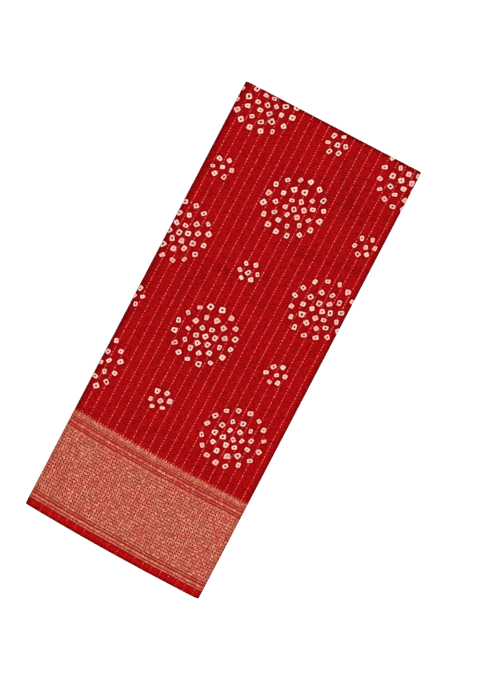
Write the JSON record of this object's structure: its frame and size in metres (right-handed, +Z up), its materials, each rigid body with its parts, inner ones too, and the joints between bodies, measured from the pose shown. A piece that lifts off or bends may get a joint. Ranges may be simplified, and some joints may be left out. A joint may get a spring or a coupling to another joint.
{
  "type": "folded printed saree",
  "caption": "Printed saree folded flat into a long narrow pack, doubled edge at one end, woven border and selvedge at the other.",
  "frame": {"origin": "middle of the underside of the pack's bounding box, on the surface it rests on", "axes": "+X across the pack from fold to fold, +Y along the pack towards the doubled edge, away from the border, +Z up out of the face that shows"},
  "size_m": [0.23, 0.5613, 0.0314],
  "materials": {
    "printed_cloth": "soft satin cloth, tie-dye dot print, metal-thread border"
  },
  "bodies": {
    "root": {"saree_cloth": "printed_cloth"}
  },
  "joints": []
}
